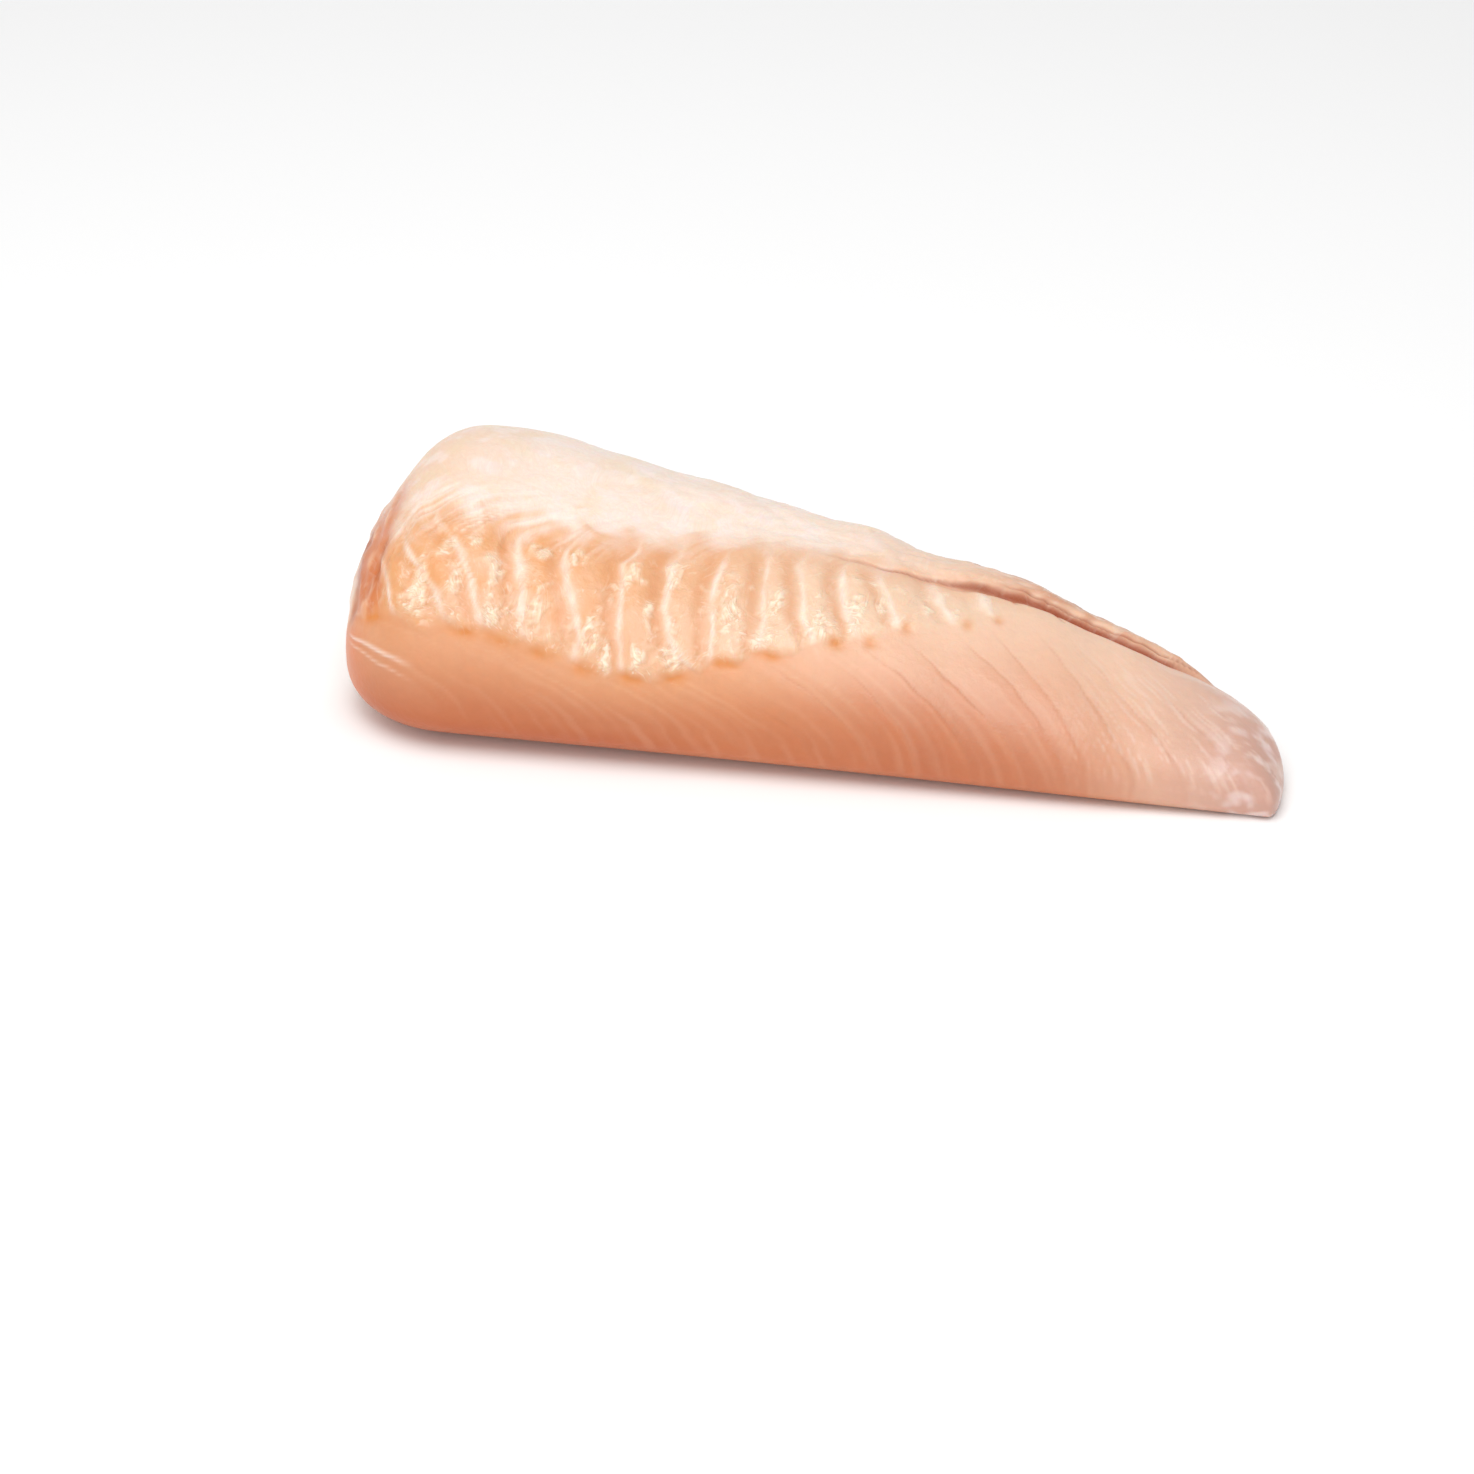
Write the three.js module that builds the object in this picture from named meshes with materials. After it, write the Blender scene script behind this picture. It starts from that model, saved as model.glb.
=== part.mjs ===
// A skinless cod fillet, lying on its flat skin side with the bone side up.
//
// It is one piece of raw fish: a thick rounded head end, a nearly straight front edge, and a back
// edge that runs in to a blunt tail. Across the upper front lies the band where the ribs were
// lifted out: a row of soft pillows of muscle between upright seams, ending below in a scalloped
// edge that stands a little proud of the smooth loin. Towards the tail the belly flap folds over
// the loin along a groove.
//
// Millimetres. +X runs along the fillet to the tail, +Y away from the ribbed front, +Z up.
// The origin is the middle of the underside's bounding box. A turn is an angle in degrees round
// the section: 0 is the front edge, 90 the crest, 180 the back edge and -90 the underside.

import * as THREE from "three";

// Driving dimensions of the body. A list runs from the head end to the tail in even steps.
const LENGTH = 234;
const CREST_HEIGHT = [62.9, 58.9, 52.3, 47.2, 42.5, 38.5, 34, 27.5, 20, 14];
const FRONT_EDGE = [-51.7, -51.7, -50.6, -49.5, -48.5, -46.5];
const BACK_EDGE = [56.7, 49.7, 38.5, 26.5, 10.5, -14.5];
const CREST_LINE = [11.5, 6, -0.5, -7, -14.5, -26.5];
const FRONT_WIDEST = [15, 15.5, 14.5, 12.5, 9.5, 5.5];
const BACK_WIDEST = [12, 11.5, 10.5, 9, 7, 4.5];

// The section is two superellipses: a round upper half and a squarer lower one.
const UPPER_SQUARENESS = 2.1;
const LOWER_SQUARENESS = 3.4;

// Soft flesh flattens where it lies, so this much of the round underside is lost to a flat.
const UNDERSIDE_FLAT = 1.6;

// The rounded ends: depth at the front, top, back and underside, where each closes, and the share
// of the rings that it takes.
const END_SQUARENESS = 2.2;
const HEAD_END = { depth: [33, 43, 38, 20], close: [-19.5, 14], rings: 0.11 };
const TAIL_END = { depth: [3, 16, 18, 3], close: [-34, 4], rings: 0.07 };

// The ribbed band's two borders: x, and the turn of its scalloped foot and of its top.
const FOOT = {
  x: [-117, -73, -62, -54, -42, -32, -21, -12, -1, 8, 15, 24, 31, 38, 46, 52, 58, 72, 117],
  turn: [27, 27, 24.5, 21.5, 20, 23, 30, 37, 44, 50, 55, 63, 69, 75, 82, 87, 91, 96, 106],
};
const TOP = {
  x: [-117, -105, -98, -85, -62, -43, -24, -5, 8, 17, 24, 32, 40, 48, 57, 68, 78, 86, 93, 117],
  turn: [44, 50, 60, 60, 63.5, 69, 78, 86, 88.5, 89, 92.5, 94.5, 99, 102, 105, 110, 113.5, 118, 129, 139],
};

// The seams between the muscle blocks: x at the band's foot and at its top.
const SEAMS = {
  foot: [-99, -85, -77, -67, -54, -42, -25, -21, -10, 5, 14, 22, 35, 43],
  top: [-108, -102, -93, -72, -60, -43, -33, -22, -12, -4, 6, 15, 27, 38.5],
};
const SEAM_RUN_IN = 6;
const SEAM_RUN_OUT = 9;

// How far the band and its pillows stand up, how deep the scallops cut, where the band goes slack
// and where it ends.
const BAND_STEP = 0.75;
const PILLOW_HEIGHT = 1;
const PILLOW_LEAN = 0.6;
const SCALLOP_TURN = 1.8;
const BAND_SOFTENS = [8, 42];
const BAND_FADE = [38, 74];

// The turns over which the band rises at its foot and sinks at its top, from those two borders.
const BAND_RISES = [-2, 4];
const BAND_SINKS = [-11, 7];

// The belly flap: where it starts to fold over, how thick it gets, and the groove under it. It
// rises from the groove first in a short wall and then in a long swell.
const MM_PER_DEGREE = 0.85;
const FLAP = [-10, 44];
const FLAP_RUNS_OUT = [86, 104];
const FLAP_THICKNESS = 2.6;
const FLAP_WALL = { share: 0.4, width: 2.5 };
const FLAP_SWELL = { share: 0.6, width: 10 };
const FLAP_SINKS = [30, 75];
const GROOVE = [5, 50];
const GROOVE_DEPTH = 1;
const GROOVE_WIDTH = 2;

// The thick edge of loin along the crest. It ends in a step that gets longer behind the crest.
const CREST_EDGE = { height: 1.9, start: [-80, -35], step: [8, 26], from: 125, longer: 0.4, most: 60 };
const CREST_RISES = [8, 32];
const CREST_SINKS = [145, 178];

// The full shoulder over the head end: its height, its middle, and its reach along and round.
const SHOULDER = { height: 1.3, x: -101, reach: 8, turn: 110, spread: 22 };

// The turned-up rim of the cut at the head end.
const RIM = { height: 1.1, x: [-114, -108], start: [40, 60], end: [92, 120] };

// How close to a closed end the rim and the rest of the relief die away, as a share of the full
// section there.
const RIM_DIES = [0.1, 0.4];
const RELIEF_DIES = [0.25, 0.9];

// The turns between which the upper side's relief comes in at the front and gives out behind.
const UPPER_STARTS = [-8, 12];
const UPPER_ENDS = [165, 190];

// Slow unevenness of hand-cut flesh: height, wavelength along, waves round the section, phase.
const UNEVEN = [
  { height: 0.3, along: 58, around: 1, phase: 0.4 },
  { height: 0.25, along: 37, around: 2, phase: 2.1 },
  { height: 0.15, along: 21, around: 3, phase: 4.4 },
];

// Faces along the fillet and round the section. Columns of faces follow the band's foot, its top
// and the groove, so these columns lie at set turns beside those two borders.
const ALONG = 104;
const AROUND = 56;
const COLUMNS = { number: [0, 11, 13, 24, 26, 28, 56], foot: 3, top: 4 };

const { clamp, smoothstep, degToRad } = THREE.MathUtils;

// A smooth curve through evenly spaced values, at a share of the way from the first to the last.
function along(values, share) {
  const steps = values.length - 1;
  const place = clamp(share, 0, 1) * steps;
  const i = Math.min(Math.floor(place), steps - 1);
  const t = place - i;
  const [b, c] = [values[i], values[i + 1]];
  const a = i > 0 ? values[i - 1] : 2 * b - c;
  const d = i + 2 <= steps ? values[i + 2] : 2 * c - b;
  return b + 0.5 * t * (c - a + t * (2 * a - 5 * b + 4 * c - d + t * (3 * (b - c) + d - a)));
}

// A straight-line reading of values given at rising places.
function between(places, values, at) {
  const next = places.findIndex((place) => place > at);
  if (next === 0) return values[0];
  if (next < 0) return values[values.length - 1];
  const share = (at - places[next - 1]) / (places[next] - places[next - 1]);
  return values[next - 1] + share * (values[next] - values[next - 1]);
}

// 1 where distance is 0, and close to 0 twice the width away.
function peak(distance, width) {
  return Math.exp(-((distance / width) ** 2));
}

// Across and height of a point on the body's section at x.
function section(x, turn) {
  const share = x / LENGTH + 0.5;
  const across = Math.cos(degToRad(turn));
  const rise = Math.sin(degToRad(turn));
  const front = across > 0;
  const crest = along(CREST_LINE, share);
  const widest = along(front ? FRONT_WIDEST : BACK_WIDEST, share);
  const edge = along(front ? FRONT_EDGE : BACK_EDGE, share);
  const power = 2 / (rise > 0 ? UPPER_SQUARENESS : LOWER_SQUARENESS);
  const lift = Math.abs(rise) ** power;
  const y = crest - (crest - edge) * Math.abs(across) ** power;
  const top = widest + (along(CREST_HEIGHT, share) - widest) * lift;
  return [y, rise > 0 ? top : widest * (1 - lift)];
}

// How deep a rounded end is at a turn.
function endDepth(end, turn) {
  const [front, top, back, under] = end.depth;
  const across = Math.cos(degToRad(turn));
  const rise = Math.sin(degToRad(turn));
  return across ** 2 * (across > 0 ? front : back) + rise ** 2 * (rise > 0 ? top : under);
}

// The curve by which both ends close.
function rounded(value) {
  return Math.max(value, 0) ** (2 / END_SQUARENESS);
}

// A point of the bare body. share runs from the head end's tip, 0, to the tail's tip, 1.
function bodyPoint(share, turn) {
  const head = endDepth(HEAD_END, turn);
  const tail = endDepth(TAIL_END, turn);
  const inHead = clamp(share / HEAD_END.rings, 0, 1) * (Math.PI / 2);
  const inTail = clamp((1 - share) / TAIL_END.rings, 0, 1) * (Math.PI / 2);
  const middle = clamp((share - HEAD_END.rings) / (1 - HEAD_END.rings - TAIL_END.rings), 0, 1);
  const tailRun = inTail < Math.PI / 2 ? rounded(Math.cos(inTail)) : 0;
  const headRun = 1 - rounded(Math.cos(inHead));
  const x = head * headRun + middle * (LENGTH - head - tail) + tail * tailRun - LENGTH / 2;
  let [y, z] = section(x, turn);
  const full = [rounded(Math.sin(inHead)), rounded(Math.sin(inTail))];
  [HEAD_END, TAIL_END].forEach(({ close }, i) => {
    y = close[0] + (y - close[0]) * full[i];
    z = close[1] + (z - close[1]) * full[i];
  });
  return { point: new THREE.Vector3(x, y, z), full: full[0] * full[1] };
}

// The swell of the muscle block at x and a height up the band: 0 on a seam, 1 at its fullest.
function swell(x, height) {
  const seams = SEAMS.foot.map((foot, i) => foot + (SEAMS.top[i] - foot) * height);
  const next = clamp(seams.filter((seam) => seam < x).length, 1, seams.length - 1);
  const [left, right] = [seams[next - 1], seams[next]];
  const phase = clamp((x - left) / (right - left), 0, 1);
  const inRow = smoothstep(x, left - SEAM_RUN_IN, left) * (1 - smoothstep(x, right, right + SEAM_RUN_OUT));
  return { pillow: inRow * Math.sin(Math.PI * phase ** PILLOW_LEAN), inRow, phase };
}

// How far the ribbed band stands off the bare body.
function bandRelief(x, turn, foot, top) {
  const { pillow, inRow, phase } = swell(x, clamp((turn - foot) / (top - foot), 0, 1));
  const scallop = foot + SCALLOP_TURN * (1 - 2 * Math.sin(Math.PI * phase) * inRow);
  const inBand = smoothstep(turn - scallop, ...BAND_RISES) * (1 - smoothstep(turn - top, ...BAND_SINKS));
  const firm = (1 - smoothstep(x, ...BAND_SOFTENS)) * (1 - smoothstep(x, ...BAND_FADE));
  return firm * inBand * (BAND_STEP + PILLOW_HEIGHT * (pillow - PILLOW_LEAN));
}

// How far the folded flap stands off the bare body, less the groove under it.
function flapRelief(x, turn, top) {
  const offGroove = (turn - top) * MM_PER_DEGREE;
  const rise = [FLAP_WALL, FLAP_SWELL].reduce(
    (sum, { share, width }) => sum + share * smoothstep(offGroove, 0, width),
    0,
  );
  const lip = FLAP_THICKNESS * rise * (1 - smoothstep(turn - top, ...FLAP_SINKS));
  const groove = GROOVE_DEPTH * peak(offGroove, GROOVE_WIDTH);
  const here = 1 - smoothstep(x, ...FLAP_RUNS_OUT);
  return here * (smoothstep(x, ...FLAP) * lip - smoothstep(x, ...GROOVE) * groove);
}

// How far the thick edge of loin along the crest stands off the bare body.
function crestRelief(x, turn, top) {
  const { height, start, step, from, longer, most } = CREST_EDGE;
  const stepEnd = step[1] + longer * clamp(turn - from, 0, most);
  const run = smoothstep(x, ...start) * (1 - smoothstep(x, step[0], stepEnd));
  return height * run * smoothstep(turn - top, ...CREST_RISES) * (1 - smoothstep(turn, ...CREST_SINKS));
}

// How far the shoulder over the head end stands off the bare body.
function shoulderRelief(x, turn) {
  const { height, x: middle, reach, turn: high, spread } = SHOULDER;
  return height * peak(x - middle, reach) * peak(turn - high, spread);
}

// How far the rim of the cut at the head end stands off the bare body.
function rimRelief(x, turn) {
  const { height, x: run, start, end } = RIM;
  return height * (1 - smoothstep(x, ...run)) * smoothstep(turn, ...start) * (1 - smoothstep(turn, ...end));
}

// How far the real surface stands off the bare body. It is left bare behind and below.
function relief(x, turn) {
  const foot = between(FOOT.x, FOOT.turn, x);
  const top = between(TOP.x, TOP.turn, x);
  const upper = smoothstep(turn, ...UPPER_STARTS) * (1 - smoothstep(turn, ...UPPER_ENDS));
  let stand = bandRelief(x, turn, foot, top) + flapRelief(x, turn, top) + crestRelief(x, turn, top);
  stand += shoulderRelief(x, turn);
  for (const { height, along: run, around, phase } of UNEVEN) {
    stand += height * Math.sin((2 * Math.PI * x) / run + degToRad(turn) * around + phase);
  }
  return upper * stand;
}

// The turn of a column of faces, at a share of the way along the fillet.
function columnTurn(column, share) {
  const x = (share - 0.5) * LENGTH;
  const foot = between(FOOT.x, FOOT.turn, x);
  const top = between(TOP.x, TOP.turn, x);
  const besideFoot = [foot - COLUMNS.foot, foot + COLUMNS.foot];
  const besideTop = [top - COLUMNS.top, top, top + COLUMNS.top];
  return between(COLUMNS.number, [-90, ...besideFoot, ...besideTop, 270], column);
}

// The whole solid: a sphere with its poles at the two ends, drawn out to the fillet.
function filletGeometry() {
  const geometry = new THREE.SphereGeometry(1, AROUND, ALONG);
  const position = geometry.getAttribute("position");
  const uv = geometry.getAttribute("uv");
  const rest = [];
  for (let i = 0; i < position.count; i++) {
    const share = Math.round((1 - uv.getY(i)) * ALONG) / ALONG;
    const turn = columnTurn(Math.round(uv.getX(i) * AROUND), share);
    const { point, full } = bodyPoint(share, turn);
    position.setXYZ(i, point.x, point.y, point.z);
    rest.push({ full, turn });
  }
  geometry.computeVertexNormals();
  const normal = geometry.getAttribute("normal");
  for (let i = 0; i < position.count; i++) {
    const { full, turn } = rest[i];
    const x = position.getX(i);
    const rim = rimRelief(x, turn) * smoothstep(full, ...RIM_DIES);
    const stand = rim + relief(x, turn) * smoothstep(full, ...RELIEF_DIES);
    const z = position.getZ(i) + stand * normal.getZ(i) - UNDERSIDE_FLAT;
    position.setXYZ(
      i,
      x + stand * normal.getX(i),
      position.getY(i) + stand * normal.getY(i),
      Math.max(z, 0),
    );
  }
  geometry.computeBoundingBox();
  const { min, max } = geometry.boundingBox;
  geometry.translate(-(min.x + max.x) / 2, -(min.y + max.y) / 2, -min.z);
  return geometry;
}

const rawCod = new THREE.MeshStandardMaterial({ color: 0xf0c09a, roughness: 0.3, metalness: 0 });
const fillet = new THREE.Mesh(filletGeometry(), rawCod);
fillet.name = "cod_fillet";

const part = new THREE.Group();
part.add(fillet);

export default part;
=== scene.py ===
# The looks of one raw, skinless cod fillet lying on a pale floor.
# Lengths are in millimetres until a mesh is written, and angles are in degrees unless a name says
# otherwise. +X runs to the tail, +Y away from the ribbed front, +Z up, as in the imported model.

import math

import bpy
import numpy as np
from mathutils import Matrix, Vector, noise


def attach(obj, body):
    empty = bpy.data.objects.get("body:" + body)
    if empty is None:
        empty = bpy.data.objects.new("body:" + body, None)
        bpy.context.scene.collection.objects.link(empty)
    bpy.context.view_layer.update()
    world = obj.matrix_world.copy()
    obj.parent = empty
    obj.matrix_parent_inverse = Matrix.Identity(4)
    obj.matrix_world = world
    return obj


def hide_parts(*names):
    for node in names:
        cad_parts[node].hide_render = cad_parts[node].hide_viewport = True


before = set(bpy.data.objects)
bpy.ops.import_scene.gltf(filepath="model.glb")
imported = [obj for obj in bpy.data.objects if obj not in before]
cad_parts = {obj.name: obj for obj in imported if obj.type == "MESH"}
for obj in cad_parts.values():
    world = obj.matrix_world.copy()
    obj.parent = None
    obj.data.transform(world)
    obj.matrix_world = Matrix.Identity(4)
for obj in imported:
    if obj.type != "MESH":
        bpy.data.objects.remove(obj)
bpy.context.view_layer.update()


# ---------------------------------------------------------------------------------------------
# The fillet: one piece of raw fish, cut off the bone by hand and skinned. Its front carries the
# band where the ribs were lifted out, under a wet membrane, and a belly flap folds over the
# loin towards the tail. It is soft, so its underside has settled to a flat.

# The body, as lists that run from the head end to the tail in even steps. Its section is squarer
# below than above, and its lowest part is pressed flat. Each end closes on a point of its own,
# across and up, over a depth at its front, top, back and underside.
LENGTH = 234
CREST_HEIGHT = [62.5, 58.5, 52, 47, 42.5, 38.5, 34, 27.5, 20, 14]
FRONT_EDGE = [-51.5, -51.5, -50.5, -49.5, -48.5, -46.5]
BACK_EDGE = [56.5, 49.5, 38.5, 26.5, 10.5, -14.5]
CREST_LINE = [11.5, 6, -0.5, -7, -14.5, -26.5]
FRONT_WIDEST = [15, 15.5, 14.5, 12.5, 9.5, 5.5]
BACK_WIDEST = [12, 11.5, 10.5, 9, 7, 4.5]
UPPER_SQUARENESS = 2.1
LOWER_SQUARENESS = 3.4
UNDERSIDE_FLAT = 1.6
END_SQUARENESS = 2.2
HEAD_DEPTH = [33, 43, 38, 20]
HEAD_CLOSE = [-19.5, 14]
HEAD_SHARE = 0.11
TAIL_DEPTH = [3, 16, 18, 3]
TAIL_CLOSE = [-34, 4]
TAIL_SHARE = 0.07

# The mesh: rings along the fillet and columns round it, closest together where the ribs show.
RINGS = 400
COLUMNS = 248
RING_CROWDING = [0, 0.17, 0.79, 0.96, 1], [0, HEAD_SHARE, 0.72, 1 - TAIL_SHARE, 1]
COLUMN_CROWDING = [0, 0.05, 0.1, 0.23, 0.79, 1], [-125, -60, -15, 15, 122, 235]


def smooth(value, low, high):
    """0 below low, 1 above high, and a smooth step between them."""
    share = np.clip((value - low) / (high - low), 0, 1)
    return share * share * (3 - 2 * share)


def fade(value, low, high):
    """1 below low, 0 above high, and a smooth step between them."""
    return 1 - smooth(value, low, high)


def peak(distance, width):
    """1 where distance is 0, and close to 0 twice the width away."""
    return np.exp(-((distance / width) ** 2))


def along(values, share):
    """A smooth curve through evenly spaced values, at a share of the way along them."""
    ends = [2 * values[0] - values[1], *values, 2 * values[-1] - values[-2]]
    knots = np.array(ends, float)
    place = np.clip(share, 0, 1) * (len(values) - 1)
    first = np.minimum(place.astype(int), len(values) - 2)
    a, b, c, d = (knots[first + i] for i in range(4))
    t = place - first
    return b + 0.5 * t * (c - a + t * (2 * a - 5 * b + 4 * c - d + t * (3 * (b - c) + d - a)))


def section(x, turn):
    """Across and height of a point on the body's section at x, at an angle round it."""
    share = x / LENGTH + 0.5
    across = np.cos(np.radians(turn))
    rise = np.sin(np.radians(turn))
    front = across > 0
    crest = along(CREST_LINE, share)
    widest = np.where(front, along(FRONT_WIDEST, share), along(BACK_WIDEST, share))
    edge = np.where(front, along(FRONT_EDGE, share), along(BACK_EDGE, share))
    power = 2 / np.where(rise > 0, UPPER_SQUARENESS, LOWER_SQUARENESS)
    lift = np.abs(rise) ** power
    place_across = crest - (crest - edge) * np.abs(across) ** power
    over = widest + (along(CREST_HEIGHT, share) - widest) * lift
    under = widest * (1 - lift)
    return place_across, np.where(rise > 0, over, under)


def end_depth(depths, turn):
    """How deep a rounded end is, from its depths at the front, top, back and underside."""
    across = np.cos(np.radians(turn))
    rise = np.sin(np.radians(turn))
    side = np.where(across > 0, depths[0], depths[2])
    over = np.where(rise > 0, depths[1], depths[3])
    return across**2 * side + rise**2 * over


def rounded(value):
    """The curve by which both ends close."""
    return np.maximum(value, 0) ** (2 / END_SQUARENESS)


def body(share, turn):
    """Points of the bare body, and how far each is from the two closed ends, 0 to 1."""
    head = end_depth(HEAD_DEPTH, turn)
    tail = end_depth(TAIL_DEPTH, turn)
    in_head = np.clip(share / HEAD_SHARE, 0, 1) * math.pi / 2
    in_tail = np.clip((1 - share) / TAIL_SHARE, 0, 1) * math.pi / 2
    middle = np.clip((share - HEAD_SHARE) / (1 - HEAD_SHARE - TAIL_SHARE), 0, 1)
    tail_run = np.where(in_tail < math.pi / 2, rounded(np.cos(in_tail)), 0)
    x = head * (1 - rounded(np.cos(in_head))) + middle * (LENGTH - head - tail) + tail * tail_run
    x = x - LENGTH / 2
    y, z = section(x, turn)
    head_full = rounded(np.sin(in_head))
    tail_full = rounded(np.sin(in_tail))
    for (close_y, close_z), full in ((HEAD_CLOSE, head_full), (TAIL_CLOSE, tail_full)):
        y = close_y + (y - close_y) * full
        z = close_z + (z - close_z) * full
    return np.stack([x, y, z], -1), head_full * tail_full


ring_share = np.interp(np.linspace(0, 1, RINGS + 1), *RING_CROWDING)
column_turn = np.interp(np.arange(COLUMNS) / COLUMNS, *COLUMN_CROWDING)
share, turn = np.meshgrid(ring_share, column_turn, indexing="ij")
points, full = body(share, turn)
x = points[..., 0]

# The way round the section in millimetres, from the front edge up and over.
steps = np.linalg.norm(np.diff(points, axis=1, prepend=points[:, :1]), axis=2)
round_way = np.cumsum(steps, axis=1)
front_column = np.abs(column_turn).argmin()
round_way = round_way - round_way[:, front_column : front_column + 1]


def normals(grid):
    """The outward directions of a closed grid of points."""
    round_step = np.roll(grid, -1, axis=1) - np.roll(grid, 1, axis=1)
    outward = np.cross(np.gradient(grid, axis=0), round_step)
    return outward / np.maximum(np.linalg.norm(outward, axis=2, keepdims=True), 1e-9)


def noise_at(places):
    """Smooth noise, about -1 to 1, at each of a grid of places."""
    values = [noise.noise(Vector(place)) for place in places.reshape(-1, 3)]
    return np.array(values).reshape(x.shape)


# The patterns are slices of one field of noise, and a seed's slice is this far from the next.
SLICE = 17.3


def noise_over(first, second, slice_at):
    """Noise over a pair of maps of the surface, in a slice of its own."""
    return noise_at(np.stack([first, second, np.full_like(x, slice_at)], -1))


def wander(size, seed, stretch=1.0, lie=None):
    """Noise over the surface. Its grain is size, and stretch times as long along x, or along lie."""
    run = x if lie is None else lie
    return noise_over(run / (size * stretch), round_way / size, seed * SLICE)


def cloud(size, seed):
    """Noise through the flesh, which joins up where the turns meet under the fillet."""
    return noise_at(bare / size + seed * SLICE)


bare = points.copy()

# How much the lines below wander from where they are written, across them and round the section.
DRIFT = 1.6
drift_x = DRIFT * wander(9, 1)
drift_turn = DRIFT * wander(7, 2)
line_x = x + 0.5 * drift_x
line_turn = turn + drift_turn

# A degree of turn is about this many millimetres of the surface in front.
DEGREE = 0.85


def gaps(places):
    """The number and the x of the line on the head side of each point, and the x of the next."""
    order = np.clip((line_x > places).sum(0), 1, len(places) - 1)
    before = np.take_along_axis(places, order[None] - 1, 0)[0]
    after = np.take_along_axis(places, order[None], 0)[0]
    return order, before, after


def past(border, low, high):
    """0 to 1 as the turn passes a border, from low to high degrees beyond it."""
    return smooth(turn, border + low, border + high)


def between(place, turns, run_out):
    """1 between the first and the last of some turns, dying away over run_out degrees more."""
    return smooth(place, turns[0] - 2, turns[0] + 1) * fade(place, turns[-1], turns[-1] + run_out)


# The seams that the ribs left: turns round the section, x at each, and half the seam's width.
SEAMS = [
    ([27, 40, 55], [-99, -103, -108], 0.8),
    ([27, 35, 47, 58], [-85, -89, -97, -102], 1.0),
    ([30, 36, 43, 54, 60], [-77, -79, -81, -88, -93], 1.1),
    ([28, 38, 46, 58], [-67, -68, -70, -72], 1.3),
    ([22, 29, 38, 44, 56], [-54, -53, -55, -57, -60], 1.2),
    ([19, 31, 45, 59, 66], [-42, -43, -45, -46, -43], 0.8),
    ([26, 31, 38, 48, 63, 70], [-25, -29, -32, -34, -35, -33], 1.0),
    ([30, 41, 52, 62, 70], [-21, -22, -23, -23, -22], 0.8),
    ([37, 52, 62, 73], [-10, -10, -12, -12], 0.8),
    ([41, 47, 56, 64, 77], [5, 3, -1, -2, -4], 0.9),
    ([51, 60, 70, 81], [14, 10, 7, 6], 1.0),
    ([62, 66, 74, 82], [22, 21, 18, 15], 1.2),
    ([72, 82, 93], [35, 30.5, 27], 1.5),
    ([83, 89, 97], [43, 40.5, 38.5], 2.0),
]

# The band's two borders: x, and the turn of its scalloped foot and of its soft top.
FOOT = [-117, -98, -83, -73, -62, -54, -42, -32, -21, -12, -1, 8, 15, 24, 31, 38, 46, 52, 58, 72, 117]
FOOT_TURN = [28, 27, 27, 27, 24.5, 21.5, 20, 23, 30, 37, 44, 50, 55, 63, 69, 75, 82, 87, 91, 96, 106]
TOP = [-117, -105, -98, -85, -62, -43, -24, -5, 8, 17, 24, 32, 40, 48, 57, 68, 78, 86, 93, 117]
TOP_TURN = [
    44, 50, 60, 60, 63.5, 69, 78, 86, 88.5, 89,
    92.5, 94.5, 99, 102, 105, 110, 113.5, 118, 129, 139,
]
BAND_STEP = 0.75
BAND_FADE = [38, 74]
BAND_SOFTENS = [8, 42]
FOOT_STEP = [-2.2, 3.6]
TOP_STEP = [-13, 9]
ROW_OPENS = 6
ROW_CLOSES = 9
PILLOW = 1.0
PILLOW_LEVEL = 0.6
PILLOW_SKEW = 0.6
SCALLOP = 1.8

foot = np.interp(x, FOOT, FOOT_TURN)
top = np.interp(x, TOP, TOP_TURN)
height = np.clip((turn - foot) / (top - foot), 0, 1)
seam_places = np.stack([np.interp(line_turn, turns, at) for turns, at, _ in SEAMS])
_, left, right = gaps(seam_places)
phase = np.clip((line_x - left) / (right - left), 0, 1)
in_row = smooth(line_x, left - ROW_OPENS, left) * fade(line_x, right, right + ROW_CLOSES)
pillow = in_row * np.sin(math.pi * phase**PILLOW_SKEW)
scallop = foot + SCALLOP * (1 - 2 * np.sin(math.pi * phase) * in_row) + 0.6 * drift_turn
band_fade = fade(x, *BAND_FADE)
firm = fade(x, *BAND_SOFTENS)

# The top border is drawn out in curls that rise from the head end and then run along the fillet.
# Above it lies the pale crown.
CURL_TURNS_AT = -55
CURL_CLIMB = 0.7
CURL_DRIFT = 9
CURL_PITCH = [8, 2.8]
BORDER_DRIFT = 4
BORDER_CURL = 5
BORDER_CALMS = [-75, -30]
CROWN_STEP = [-7, 9]
CROWN_ENDS = [160, 200]
curl_way = round_way - CURL_CLIMB * np.clip(CURL_TURNS_AT - x, 0, 50) + CURL_DRIFT * wander(13, 20)
curl = noise_over(x / CURL_PITCH[0], curl_way / CURL_PITCH[1], 40.0)
ragged_top = top + BORDER_DRIFT * wander(6, 11, 0.8) + BORDER_CURL * curl * fade(x, *BORDER_CALMS)
in_band = past(scallop, *FOOT_STEP) * (1 - past(ragged_top, *TOP_STEP)) * band_fade
crown = past(ragged_top, *CROWN_STEP) * fade(turn, *CROWN_ENDS)

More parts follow.
